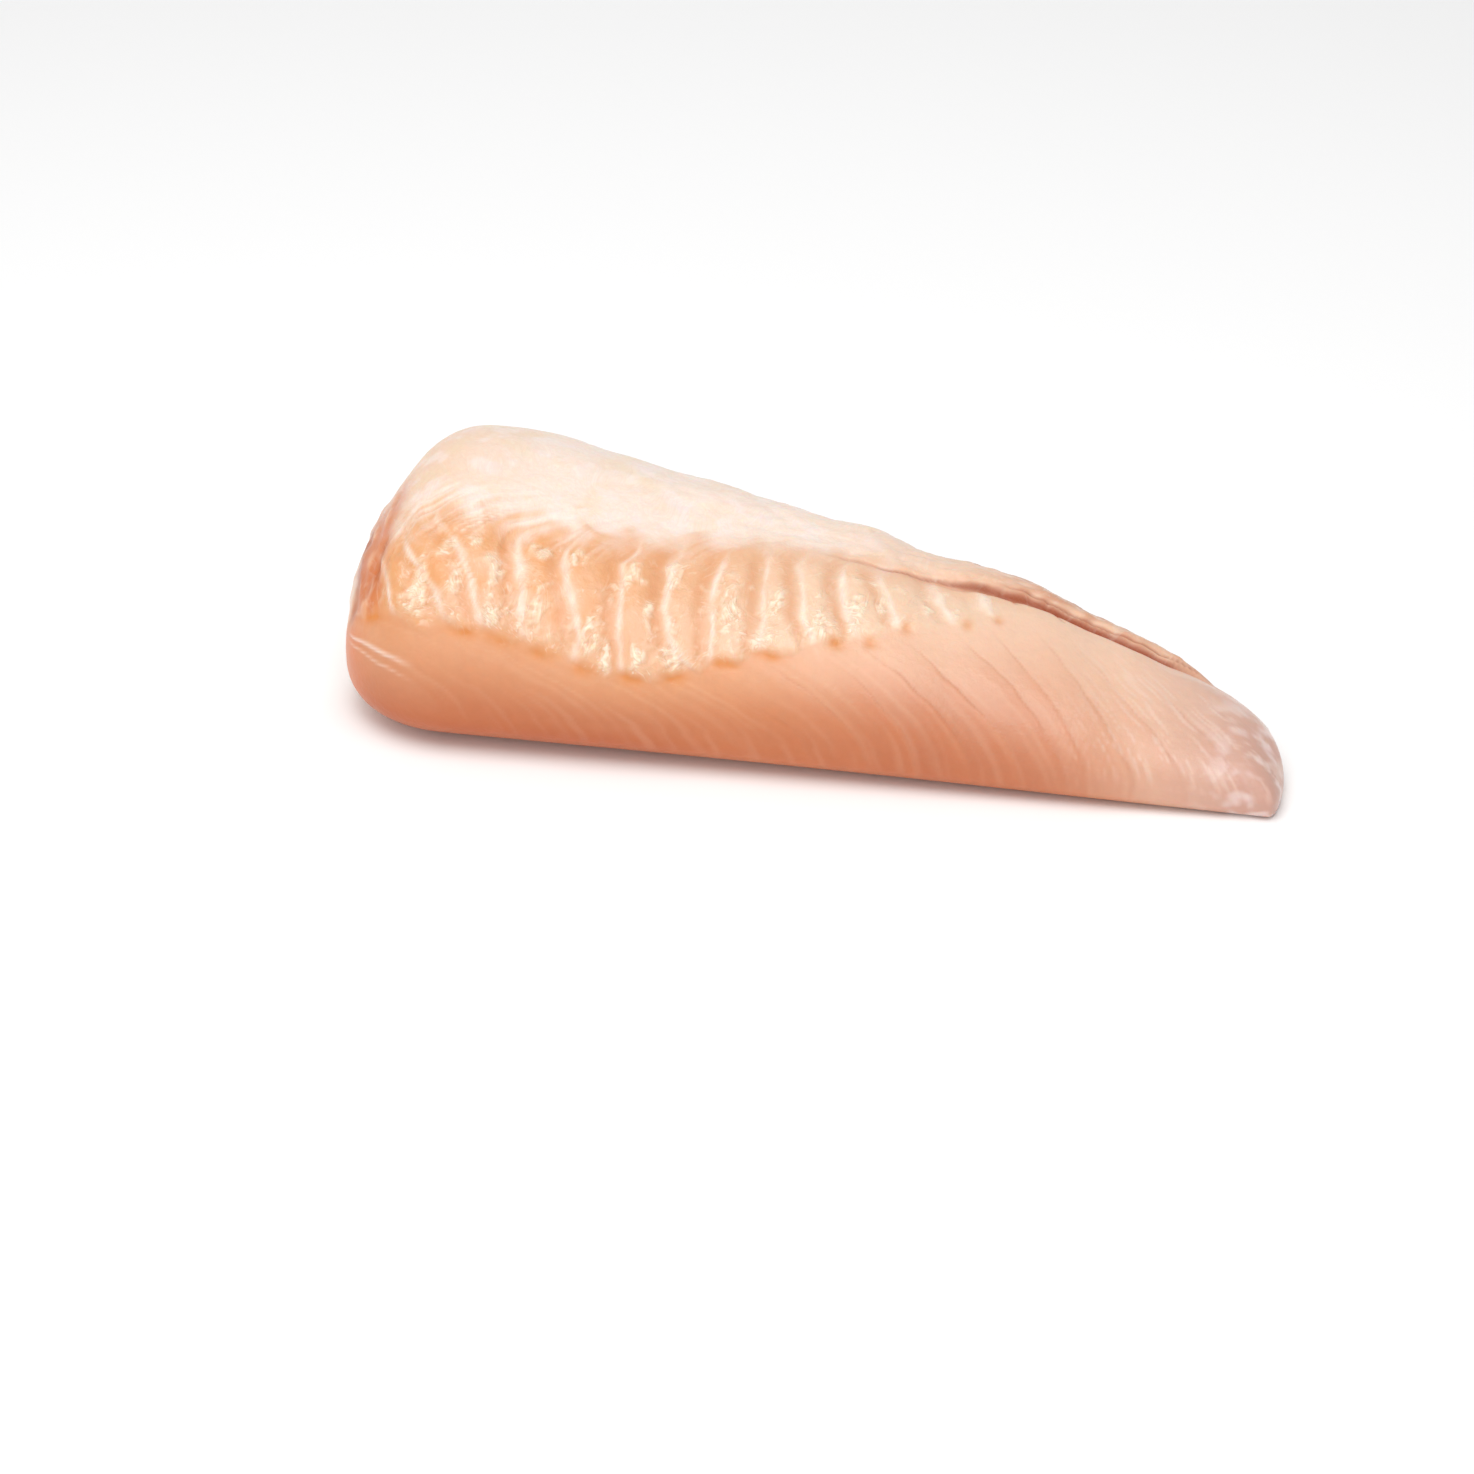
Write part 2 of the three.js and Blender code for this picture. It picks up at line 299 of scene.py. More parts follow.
# Each seam is a pale ribbon of tissue, uneven in width, with a valley on its head side. The valley
# is also painted darker orange, as painted shade.
SEAM_RIDGE = 0.5
SEAM_SHARE = 0.88
SEAM_RUN_OUT = 9
VALLEY_CUT = 0.25
VALLEY_OFF = 2.4
VALLEY_WIDTH = 1.9
ribbon = np.zeros_like(x)
valley = np.zeros_like(x)
uneven_width = 1 + 0.7 * wander(4, 21)
for turns, at, wide in SEAMS:
    width = SEAM_SHARE * wide
    off = line_x - np.interp(line_turn, turns, at)
    reach = between(line_turn, turns, SEAM_RUN_OUT)
    ribbon = np.maximum(ribbon, reach * peak(off, width * uneven_width))
    valley = np.maximum(valley, reach * peak(off + VALLEY_OFF + width, VALLEY_WIDTH))
ribbon = ribbon * np.clip(0.75 + 0.7 * wander(5, 13, 0.5), 0.2, 1)

# Scraps of thick membrane cling beside the seams, crumpled and wet: x, turn, half width and height.
SCRAPS = [
    (-94, 37, 2.8, 9), (-88, 51, 2, 3), (-82, 53, 2, 3), (-85, 41, 1.8, 4), (-75, 33, 2.2, 4),
    (-76, 45, 1.8, 7), (-65, 36, 2.6, 7), (-66, 56, 2, 2.4), (-51, 32, 3, 6.5), (-57, 57, 2, 3),
    (-42, 55, 3, 4), (-38, 47, 2.2, 4), (-47, 25, 2, 6), (-38, 27, 2, 4), (-33, 60, 2, 5),
    (-31, 29, 3, 4), (-18, 52, 2.6, 10), (-10, 42, 2.2, 5), (-8, 60, 1.8, 5), (3, 52, 2.4, 8),
    (11, 65, 2, 8), (17, 71, 1.6, 4), (28, 77, 1.5, 4), (35, 78, 1.2, 3),
]
SCRAP_THICK = 0.25
scraps = np.zeros_like(x)
for scrap_x, scrap_turn, width, tall in SCRAPS:
    across = (line_x - scrap_x) / width
    upright = (line_turn - scrap_turn) * DEGREE / tall
    scraps = np.maximum(scraps, peak(np.hypot(across, upright), 1))
torn = 0.7 * wander(4.5, 14, 0.6) + 0.4 * wander(2, 15, 0.8)
scraps = smooth(scraps * 1.1 + torn, 0.2, 1.0) * in_band

# A thinner film covers most of the band's lower half. Both are crumpled into fine ridges.
WRINKLE = 0.5
WRINKLE_LEVEL = 0.4
FILM_STARTS = [-104, -96]
film = smooth(wander(6, 22, 0.6) + 0.4 - height, -0.2, 0.5)
film = film * in_band * smooth(x, *FILM_STARTS) * (0.25 + 0.75 * firm)
crumple = 1 - np.abs(wander(3.2, 3, 0.9) + 0.6 * wander(1.4, 4, 0.9)) * 2.4
loose = in_band * np.clip(0.12 + 0.88 * scraps + 0.3 * film, 0, 1) * (0.3 + 0.7 * firm)

# Higher up the membrane is golden, most of all near the head end and in the corner by the cut.
GOLD_PALES = [-70, -35]
GOLD_THINS = [0, 30]
CORNER_STARTS = [-113, -109]
CORNER_ENDS = [-102, -95]
CORNER_FOOT = [33, 42]
CORNER_TOP = [54, 66]
CORNER_DRIFT = 6
gold = in_band * smooth(height + 0.5 * wander(7, 23, 0.7) + smooth(-x, 84, 96), 0.35, 0.8)
gold = gold * (1 - 0.55 * smooth(x, *GOLD_PALES) - 0.4 * smooth(x, *GOLD_THINS))
corner_top = [edge + CORNER_DRIFT * drift_turn for edge in CORNER_TOP]
corner_gold = smooth(x, *CORNER_STARTS) * fade(x, *CORNER_ENDS) * smooth(turn, *CORNER_FOOT)
corner_gold = corner_gold * fade(turn, *corner_top)

# Along the top border the membrane is swept into curls, upright at first and then leaning back.
CURL_HEIGHT = 0.35
CURL_LEVEL = 0.4
CURLED_FOOT = [-14, -4]
CURLED_TOP = [6, 22]
CURLED_STARTS = [-112, -102]
CURLED_CALMS = [-72, -45]
CURLED_ENDS = [-10, 35]
SWEEP_ROUND = 16
above_top = (turn - top) * DEGREE
sweep_x = x - np.clip(above_top + 8, 0, 30) ** 2 / SWEEP_ROUND + 2.5 * wander(9, 70)
curled_ridge = 1 - 2.4 * np.abs(noise_over(sweep_x / 2.1, above_top / 11, 60.0))
swept_wide = noise_over(sweep_x / 6, above_top / 14, 61.0)
curled = past(ragged_top, *CURLED_FOOT) * (1 - past(ragged_top, *CURLED_TOP))
curled = curled * (1 - 0.75 * smooth(x, *CURLED_CALMS)) * fade(x, *CURLED_ENDS)
curled = curled * smooth(x, *CURLED_STARTS)

# The groove where the belly flap folds over the loin, and the lip of the flap above it, which
# rises as a steep wall and then a softer swell, and runs out before the tail.
GROOVE_DEPTH = 1.0
GROOVE_CUT = 0.5
GROOVE_STARTS = [5, 50]
FLAP_LIP = 2.6
FLAP_WALL = 2.5
FLAP_RISE = 10
FLAP_STARTS = [-10, 44]
FLAP_RUNS_OUT = [86, 104]
FLAP_SINKS = [30, 75]
FLAP_ROUGH = 0.4
STRIP_WIDTH = 3
flap = smooth(x, *FLAP_STARTS)
off_groove = (turn - top + 0.7 * drift_turn) * DEGREE + 0.5 * wander(2.6, 41, 1.5)
groove_wide = smooth(x, *GROOVE_STARTS) * fade(x, *FLAP_RUNS_OUT) * peak(off_groove, 2.0)
lip_end = fade(x, *FLAP_RUNS_OUT) * (1 - past(top, *FLAP_SINKS))
lip = 0.4 * smooth(off_groove, 0, FLAP_WALL) + 0.6 * smooth(off_groove, 0, FLAP_RISE)
lip = flap * lip * lip_end
strip = flap * smooth(off_groove, 0, STRIP_WIDTH) * lip_end
rough_flap = strip * (wander(3.4, 24, 2) + 0.7 * wander(1.5, 25, 1.8))

# A dark line runs up that wall from the groove, and a second strand of it parts from the first.
LINE_STARTS = [-6, 18]
LINE_DARKENS = [20, 50]
LINE_ENDS = [84, 94]
LINE_WIDENS = [24, 46]
LINE_CLIMBS = [10, 40]
STRAND_OFF = 4.0
STRAND_WIDTH = 0.7
STRAND_STARTS = [40, 52]
STRAND_ENDS = [88, 98]
STRAND_CUT = 0.4
groove_width = 0.6 + 0.6 * smooth(x, *LINE_WIDENS) + 0.4 * wander(5, 42, 2)
groove_place = 0.6 + 0.7 * smooth(x, *LINE_CLIMBS)
groove_run = (0.6 * smooth(x, *LINE_STARTS) + 0.4 * smooth(x, *LINE_DARKENS)) * fade(x, *LINE_ENDS)
groove = groove_run * peak(off_groove - groove_place, groove_width)
second_strand = peak(off_groove - STRAND_OFF - 1.6 * wander(10, 43, 2), STRAND_WIDTH)
second_strand = second_strand * smooth(x, *STRAND_STARTS) * fade(x, *STRAND_ENDS)

# The flap's outer edge has dried to a thin darker line, and to two brown marks where it runs out:
# x, turn, half width, half height and strength of each.
FLAP_EDGE = [16, 32, 52, 73, 93, 117]
FLAP_EDGE_TURN = [124, 128, 127, 133, 140, 148]
FLAP_EDGE_WIDTH = 3
DRIED_MARKS = [(89, 134, 6, 7, 1.0), (99, 136, 5, 5, 0.7)]
edge_off = turn - np.interp(x, FLAP_EDGE, FLAP_EDGE_TURN) + 3 * wander(5, 68, 2)
flap_edge = peak(edge_off, FLAP_EDGE_WIDTH) * smooth(x, 14, 30)
dried = np.zeros_like(x)
for mark_x, mark_turn, width, tall, strength in DRIED_MARKS:
    away = np.hypot((x - mark_x) / width, (turn - mark_turn) / tall)
    dried = np.maximum(dried, strength * peak(away, 1))
dried = dried * (0.8 + 0.6 * wander(3, 71, 2))

# Two flakes are torn where the groove opens: the turns and the x of each tear.
TEARS = [([98, 100, 103], [48, 47, 44]), ([100, 103, 107], [60, 58, 55])]
TEAR_WIDTH = 0.6
TEAR_DEPTH = 0.5
TEAR_RUN_OUT = 3
tears = np.zeros_like(x)
for turns, at in TEARS:
    off = x - np.interp(turn, turns, at)
    tears = np.maximum(tears, between(turn, turns, TEAR_RUN_OUT) * peak(off, TEAR_WIDTH))

# The crest keeps a thick edge of loin up to the torn step where the flap gives out. Behind the
# crest the step is softer. A low shoulder stands above the head end.
CREST_EDGE = 1.9
CREST_STARTS = [-80, -35]
CREST_STEP = [8, 26]
CREST_RISES = [8, 32]
CREST_SINKS = [145, 178]
SOFTER_FROM = 125
SHOULDER = 1.3
SHOULDER_X = -101
SHOULDER_REACH = 8
SHOULDER_TURN = 110
SHOULDER_SPREAD = 22
step_x = x + 3 * cloud(8, 60)
step_end = CREST_STEP[1] + 0.4 * np.clip(turn - SOFTER_FROM, 0, 60)
crest = fade(step_x, CREST_STEP[0], step_end) * smooth(x, *CREST_STARTS)
crest = crest * past(top, *CREST_RISES) * fade(turn, *CREST_SINKS)

# Slow unevenness of hand-cut flesh, as waves along and round it: height, length and start.
WAVES = [(0.3, 58, 0.4), (0.25, 37, 2.1), (0.15, 21, 4.4)]
uneven = 0
for wave, (tall, length, start) in enumerate(WAVES):
    uneven = uneven + tall * np.sin(2 * math.pi * x / length + (wave + 1) * np.radians(turn) + start)

# The fibres that run along the pale crown, with broad lumps and small wrinkles under them.
FIBRE = 0.07
FINE_FIBRE = 0.04
LUMP = 0.3
CROWN_WRINKLE = 0.35
CROWN_WRINKLES_FROM = [-70, -30]
fibre = noise_over(x / 9, curl_way / 1.3, 80.0)
fibre_fine = noise_over(x / 4, curl_way / 0.7, 90.0)
lumps = cloud(11, 6)
crown_wrinkles = wander(3.2, 50, 1.3)

# Below the band the loin shows its flakes. Each faint seam between two of them starts at a turn
# and an x, and runs down and towards the tail, steeper as it goes.
FLAKES = [
    (20, -116, 32), (20, -101, 32), (20, -86, 32), (20, -70, 31), (20, -54, 30), (22, -38, 29),
    (25, -23, 28), (34, -7, 25), (42, 7, 23), (46, 19, 24), (51, 30, 25), (62, 41, 25),
    (67, 49, 22), (71, 61, 21), (77, 70, 25), (84, 83, 27), (90, 96, 28),
]
FLAKE_LOWEST = -15
FLAKE_CURVE = 2.6
FLAKE_PITCH = 13
FLAKE_SEAM_WIDTH = 0.5
FLAKE_CUT = 0.2
FLAKE_SWELL = 0.15
FLAKES_SHOW = [-45, 15]
FLAKES_PALE = [30, 70]
GRAIN = 0.04
LOIN_FOOT = [-30, -5]


def flake_line(start_turn, start_x, run):
    """The x of one such seam at every turn."""
    down = np.minimum((start_turn - line_turn) / (start_turn - FLAKE_LOWEST), 1)
    bend = np.where(down > 0, 1 - (1 - np.maximum(down, 0)) ** FLAKE_CURVE, FLAKE_CURVE * down)
    return start_x + run * bend


loin = smooth(turn, *LOIN_FOOT) * (1 - past(scallop, 0, 4))
open_loin = smooth(turn, *LOIN_FOOT) * (1 - past(top, -4, 0))
loin = loin + (open_loin - loin) * smooth(x, 36, 62)
flake_places = np.stack([flake_line(*flake) for flake in FLAKES])
number, left, right = gaps(flake_places)
flake_phase = np.clip((line_x - left) / np.maximum(right - left, 1), 0, 1)
flake_way = (number + flake_phase) * FLAKE_PITCH
to_seam = np.abs(line_x[None] - flake_places).min(0)
below_band = turn - foot
flaked = loin * (0.15 + 0.85 * smooth(x, *FLAKES_SHOW)) * fade(below_band, -22, -2)
flaked = flaked * (1 - 0.5 * smooth(x, *FLAKES_PALE))
flake_seam = peak(to_seam, FLAKE_SEAM_WIDTH) * flaked * (0.7 + 0.6 * wander(7, 16))
# Each flake is painted darker towards the seam on its tail side, as painted shade, and swells a
# little there.
flake_side = smooth(flake_phase, 0.35, 1) * loin * fade(below_band, -45, -8) * smooth(x, -30, 10)
flake_side = flake_side * (1 - 0.6 * smooth(x, 35, 75))
wisps = wander(9, 66, 0.15, lie=flake_way) + 0.5 * wander(4, 67, 0.2, lie=flake_way)
grain = wander(18, 26, 0.12, lie=flake_way)

# Where the head end was cut, a crease follows the rim, with small folds beside it. The crease and
# the rim's outer edge are painted dark brown-red, partly the cut flesh's own colour and partly
# painted shade; the folds are painted paler on their crests, partly a painted highlight. The rim
# itself is turned up a little.
RIM_X = -113.4
RIM_SPAN = [22, 34], [74, 100]
RIM_CUT = 0.8
RIM_WIDTH = 1.8
SECOND_CUT = 0.6
SECOND_WIDTH = 0.7
SECOND_OFF = 6.5
SECOND_SPAN = [34, 40], [54, 64]
RIM_FOLD = 0.7
FOLDS_START = [-115, -112]
FOLDS_END = [-107, -102]
RIM_RIDGE = 1.3
RIDGE_END = [-114, -108]
RIDGE_SPAN = [40, 60], [92, 120]
DARK_END = [-113.5, -110.5]
DARK_SPAN = [15, 30], [95, 125]


def spanned(starts, ends):
    """1 over a span of turns, with a soft start and a soft end."""
    return smooth(turn, *starts) * fade(turn, *ends)


rim_off = x - RIM_X - 0.9 * wander(14, 7)
rim_span = spanned(*RIM_SPAN)
rim_crease = peak(rim_off, RIM_WIDTH) * rim_span
second_off = rim_off - SECOND_OFF - 0.04 * (turn - 45)
rim_second = 0.7 * peak(second_off, SECOND_WIDTH) * spanned(*SECOND_SPAN)
rim_folds = smooth(x, *FOLDS_START) * fade(x, *FOLDS_END) * rim_span
# The rim's outer edge is painted darker: partly its brown-red flesh, partly painted shade where the
# head end rounds over.
rim_dark = fade(x, *DARK_END) * spanned(*DARK_SPAN)
fold_wave = noise_over(x / 1.7, round_way / 7, 100.0)
rim_ridge = fade(x, *RIDGE_END) * spanned(*RIDGE_SPAN) * (0.8 + 0.9 * cloud(5, 61))

# The face of that cut is plain wet flesh, with the edges of the flakes showing as arcs across it.
ARC_PITCH = 7
ARC_WIDTH = 0.7
ARC_CORNER = [-30, -14]
FACE_EDGE = [0.2, 0.42]
cut_face = fade(full + 0.08 * cloud(7, 62), *FACE_EDGE) * (x < 0)
from_corner = np.hypot(bare[..., 1] - ARC_CORNER[0], bare[..., 2] - ARC_CORNER[1])
from_corner = from_corner + 2.5 * cloud(11, 63)
arcs = peak((from_corner / ARC_PITCH - np.round(from_corner / ARC_PITCH)) * ARC_PITCH, ARC_WIDTH)
open_end = 1 - cut_face

# Below it the corner is thin, and a pale double fold runs back along the fillet. Its paleness is
# partly its own flesh and partly a painted highlight along the fold.
THIN_END = [-114, -104]
THIN_SPAN = [-40, -10], [18, 30]
FOLD_X = [-114, -111, -103, -97, -90]
FOLD_TURN = [21, 18.5, 15.5, 13.5, 12]
FOLD_HEIGHT = 0.5
FOLD_WIDTH = 0.6
FOLD_GAP = 3.4
FOLD_STARTS = [-114, -110]
FOLD_ENDS = [-102, -92]
thin_edge = fade(x, *THIN_END) * spanned(*THIN_SPAN)
fold_off = (turn - np.interp(x, FOLD_X, FOLD_TURN)) * DEGREE + 0.9 * wander(6, 44)
lower_fold = 0.5 * peak(fold_off + FOLD_GAP + 0.05 * (x + 110), 0.5)
pale_fold = np.maximum(peak(fold_off, FOLD_WIDTH), lower_fold)
pale_fold = pale_fold * smooth(x, *FOLD_STARTS) * fade(x, *FOLD_ENDS)

# The pits under the scallops, painted orange-brown as shade in them: x, turn, half width and half
# height of each.
PITS = [
    (-106, 27, 4, 1.8), (-82, 26, 4, 1.8), (-72, 26, 4, 2.3), (-62, 24, 3.6, 2.3),
    (-51, 20, 3, 2.2), (-40, 19.5, 3, 2.2), (-30, 22.5, 3.2, 2.4), (-18, 31.5, 3.6, 2.2),
    (-8, 38, 3.6, 2), (8, 49, 2.4, 2), (16, 53, 1.8, 2.2), (24, 63, 1.5, 2.6),
    (38, 75, 1.3, 3), (45, 82, 1.2, 2.4),
]
PIT_DEPTH = 0.5
PITS_PALE = [0, 20]
pits = np.zeros_like(x)
for pit_x, pit_turn, width, tall in PITS:
    away = np.hypot((x - pit_x) / width, (turn - pit_turn) * DEGREE / tall)
    pits = np.maximum(pits, peak(away, 1))
pits = pits * (0.8 + 0.5 * wander(3, 9)) * (1 - 0.4 * smooth(x, *PITS_PALE))

# The skin side, behind and below: the knife left a silvery skin there, over flakes that run in
# zigzags, and a darker line of muscle along the middle.
SKIN_EDGE_BEHIND = [150, 178]
SKIN_EDGE_FRONT = [-75, -35]
CHEVRON_PITCH = 11
CHEVRON_REACH = 14
CHEVRON_WIDTH = 0.8
CHEVRON_CUT = 0.25
MUSCLE_TURN = 200
MUSCLE_WIDTH = 7
MUSCLE_STARTS = [-105, -60]
behind = np.where(turn < 100, turn + 360, turn)
skinned = np.maximum(smooth(turn, *SKIN_EDGE_BEHIND), fade(turn, *SKIN_EDGE_FRONT))
zigzag = np.abs((behind - 170) / 60 % 2 - 1)
chevron_place = (x + CHEVRON_REACH * zigzag + 1.5 * cloud(9, 30)) / CHEVRON_PITCH
off_chevron = (chevron_place - np.round(chevron_place)) * CHEVRON_PITCH
chevron = peak(off_chevron, CHEVRON_WIDTH) * skinned
silver = skinned * smooth(cloud(7, 31) + 0.5 * cloud(3, 32), -0.1, 0.5)
off_muscle = behind - MUSCLE_TURN + 4 * cloud(20, 33)
muscle_line = peak(off_muscle, MUSCLE_WIDTH) * smooth(x, *MUSCLE_STARTS)

# All of it together is how far the surface stands out from the bare body. The relief of the upper
# side dies away round its edges and towards the closed ends, and the rim's own a little later.
UPPER_STARTS = [-8, 12]
UPPER_ENDS = [165, 190]
RELIEF_DIES = [0.25, 0.9]
RIM_DIES = [0.1, 0.4]
upper = spanned(UPPER_STARTS, UPPER_ENDS)
inside = smooth(full, *RELIEF_DIES)
rim_shows = smooth(full, *RIM_DIES)
relief = in_band * (BAND_STEP * firm + PILLOW * firm * (pillow - PILLOW_LEVEL)) + lip * FLAP_LIP
relief = relief - GROOVE_DEPTH * groove_wide - GROOVE_CUT * groove
relief = relief + CREST_EDGE * crest + uneven
shoulder = SHOULDER * peak(x - SHOULDER_X, SHOULDER_REACH)
relief = relief + shoulder * peak(turn - SHOULDER_TURN, SHOULDER_SPREAD)
relief = relief + in_band * (SEAM_RIDGE * ribbon - VALLEY_CUT * valley)
relief = relief + WRINKLE * loose * (crumple - WRINKLE_LEVEL) + SCRAP_THICK * scraps
relief = relief + CURL_HEIGHT * curled * (curled_ridge - CURL_LEVEL)
relief = relief + CROWN_WRINKLE * crown_wrinkles * crown * smooth(x, *CROWN_WRINKLES_FROM)
relief = relief + crown * (FIBRE * fibre + FINE_FIBRE * fibre_fine + LUMP * lumps)
relief = relief + FLAP_ROUGH * rough_flap
relief = relief - TEAR_DEPTH * tears - STRAND_CUT * second_strand - FLAKE_CUT * flake_seam
relief = relief + FLAKE_SWELL * flake_side - PIT_DEPTH * pits + GRAIN * grain * loin
relief = relief * upper * inside
relief = relief - CHEVRON_CUT * chevron * inside
rim_relief = RIM_FOLD * rim_folds * fold_wave - RIM_CUT * rim_crease
rim_relief = rim_relief - SECOND_CUT * rim_second + RIM_RIDGE * rim_ridge
relief = relief + rim_shows * rim_relief
relief = relief + rim_shows * FOLD_HEIGHT * pale_fold
points = points + relief[..., None] * normals(points)
points[..., 2] = np.maximum(points[..., 2] - UNDERSIDE_FLAT, 0)

bpy.ops.object.select_all(action="DESELECT")
bpy.ops.mesh.primitive_uv_sphere_add(segments=COLUMNS, ring_count=RINGS, radius=1)
fillet = bpy.context.object
fillet.name = "fillet_flesh"
mesh = fillet.data

# Each vertex of the ball is one ring and one column of the grid, and is moved to its place there.
ball = np.zeros(len(mesh.vertices) * 3)
mesh.vertices.foreach_get("co", ball)
ball = ball.reshape(-1, 3)
ring = np.rint(np.arccos(np.clip(ball[:, 2], -1, 1)) / math.pi * RINGS).astype(int)
column = np.rint(np.arctan2(ball[:, 1], ball[:, 0]) / (2 * math.pi) * COLUMNS).astype(int) % COLUMNS
mesh.vertices.foreach_set("co", (points[ring, column] / 1000).ravel())
mesh.update()

bpy.ops.object.mode_set(mode="EDIT")
bpy.ops.mesh.select_all(action="SELECT")
bpy.ops.mesh.normals_make_consistent(inside=False)
bpy.ops.object.mode_set(mode="OBJECT")
bpy.ops.object.shade_smooth()


def paint(name, values):
    """Stores a value for each point of the fillet, for its material to read."""
    attribute = mesh.attributes.new(name, "FLOAT", "POINT")
    attribute.data.foreach_set("value", values[ring, column].astype(np.float32))


# The flesh under everything: pale over the loin, and darker orange low down, partly the loin's own
# deeper tone and partly painted shade. A painted contact shade darkens it most under the head end
# and low down behind the middle.
LOW_FOOT = -10
LOW_STEP = 8
LOW_PALES = [55, 100]
CONTACT_SHADE_FOOT = [-18, 16]
CONTACT_SHADE_ENDS = [-50, -10]
CONTACT_SHADE_LOW = 15
CONTACT_SHADE_X = 32
CONTACT_SHADE_REACH = 26
paint("pale_loin", loin * smooth(x + 0.6 * turn, -10, 80))
# The low band: the loin's own deeper tone, with painted shade over it.
low_top = foot + 2 + LOW_STEP * smooth(x, -10, 20)
low = fade(turn, LOW_FOOT, low_top) * smooth(turn, *SKIN_EDGE_FRONT)
paint("low", low * (1 - 0.7 * smooth(x, *LOW_PALES)))
# Painted contact shade, under the head end and low down behind the middle.
contact_shade = fade(turn, *CONTACT_SHADE_FOOT) * fade(x, *CONTACT_SHADE_ENDS)
contact_shade_top = np.maximum(foot - 12, CONTACT_SHADE_LOW + 1)
contact_shade = np.maximum(contact_shade, 0.5 * fade(turn, CONTACT_SHADE_LOW, contact_shade_top) * peak(x - CONTACT_SHADE_X, CONTACT_SHADE_REACH))
paint("contact_shade", contact_shade * smooth(turn, *SKIN_EDGE_FRONT))
# Painted shade on the tail side of each flake.
paint("flake_side", flake_side)
paint("grain", loin * smooth(grain, -0.1, 0.7))
paint("flake", flake_seam)

# The crown: streaked with fibres, buff in places and whiter in others.
BUFF_THINS = [-60, -20]
TINT_ENDS = [-108, -66]
paint("crown", crown)
paint("head_tint", crown * fade(x, *TINT_ENDS))
paint("streak", crown * smooth(fibre + 0.5 * fibre_fine, -0.05, 0.6))
paint("buff", crown * smooth(cloud(10, 51), 0.0, 0.45) * (1 - 0.6 * smooth(x, *BUFF_THINS)))
paint("blush", crown * smooth(cloud(6, 52) + 0.4 * cloud(2.5, 53), 0.0, 0.45))
# Cream on the ridges of the curls: partly the membrane's own colour, partly a painted highlight.
paint("cream", curled * smooth(curled_ridge, 0.0, 0.8) * smooth(swept_wide, -0.35, 0.2))
paint("curl_gold", curled * smooth(-swept_wide, 0.0, 0.4) * (1 - past(ragged_top, 4, 16)))

# The band: membrane, golden above and filmed over below, with pale ribbons and scraps. The scraps'
# paleness, strongest on their crumpled ridges, is partly the membrane's own colour and partly a
# painted highlight.
crumpled = smooth(crumple, -0.2, 0.7)
paint("membrane", np.maximum(in_band * (1 - 0.4 * smooth(x, 10, 40)), corner_gold))
paint("gold", np.maximum(gold, corner_gold))
paint("pale_band", in_band * smooth(x, -45, 5))
# Painted shade in the valley on the head side of each seam.
paint("valley", valley * in_band * firm)
paint("film", film * (0.3 + 0.7 * crumpled))
# Scraps: the membrane's own pale colour with a painted highlight on their ridges.
paint("scraps", scraps * (0.35 + 0.65 * crumpled))
paint("ribbon", ribbon * (0.1 + 0.9 * in_band) * band_fade)
# Painted shade in the pits under the scallops.
paint("pit_shade", pits)

# The flap and its groove. Where its rough lip shows, the flap has dried a little brown.
TAN_STARTS = [30, 60]
TAN_PALES = [62, 84]
HIDDEN_FROM = [22, 42]
paint("strip", strip)
paint("flap_edge", flap_edge)
paint("dried", dried)
hidden = past(top, *HIDDEN_FROM)
tan = strip * smooth(x, *TAN_STARTS) * (1 - 0.5 * smooth(x, *TAN_PALES))
paint("tan", tan * smooth(rough_flap, -0.7, 0.5) * (1 - 0.8 * hidden))
# Painted shade along the groove under the flap's lip.
paint("groove_shade", groove_wide)
paint("groove", np.maximum(np.maximum(groove, 0.7 * second_strand), 0.35 * tears))

# The tail end: greyer and milky, with pale wisps that follow the flakes.
TAIL_STARTS = [70, 116]
MILK_STARTS = [92, 112]
WISPS_START = [55, 85]
paint("tail", smooth(x, *TAIL_STARTS))
paint("milk", smooth(x, *MILK_STARTS) * smooth(cloud(5, 34) + 0.5 * cloud(2.2, 35), -0.1, 0.5))
wispy = open_loin * smooth(x, *WISPS_START) * smooth(wisps, 0.05, 0.5)
paint("wisps", wispy * smooth(turn, -5, 25))

# The head end: the rim, its folds, the thin corner and the face of the cut.
# The creases along the rim are painted dark: partly brown-red flesh, partly painted shade in them.
crease_dark = rim_crease * (0.75 + 0.6 * fold_wave)
paint("rim", np.maximum(crease_dark, 0.6 * rim_second) * smooth(full, 0.3, 0.5))
# The rim's outer edge: partly brown-red flesh, partly painted shade where it rounds over.
paint("rim_dark", rim_dark * (0.6 + 0.9 * fold_wave) * smooth(full, 0.36, 0.5))
paint("rim_flesh", rim_folds)
# The folds are paler on their crests: partly their own flesh, partly a painted highlight.
paint("rim_fold", rim_folds * smooth(fold_wave, 0.05, 0.4))
paint("thin_edge", thin_edge)
# The pale fold: partly its own flesh, partly a painted highlight along it.
paint("pale_fold", pale_fold)
paint("cut_face", cut_face)
paint("cut_pale", cut_face * smooth(cloud(6, 64) + 0.5 * cloud(2.5, 65), -0.1, 0.5))
paint("cut_arc", cut_face * arcs)

# The skin side.
paint("skinned", skinned)
paint("silver", silver)
paint("muscle_line", muscle_line * skinned)
paint("chevron", chevron)

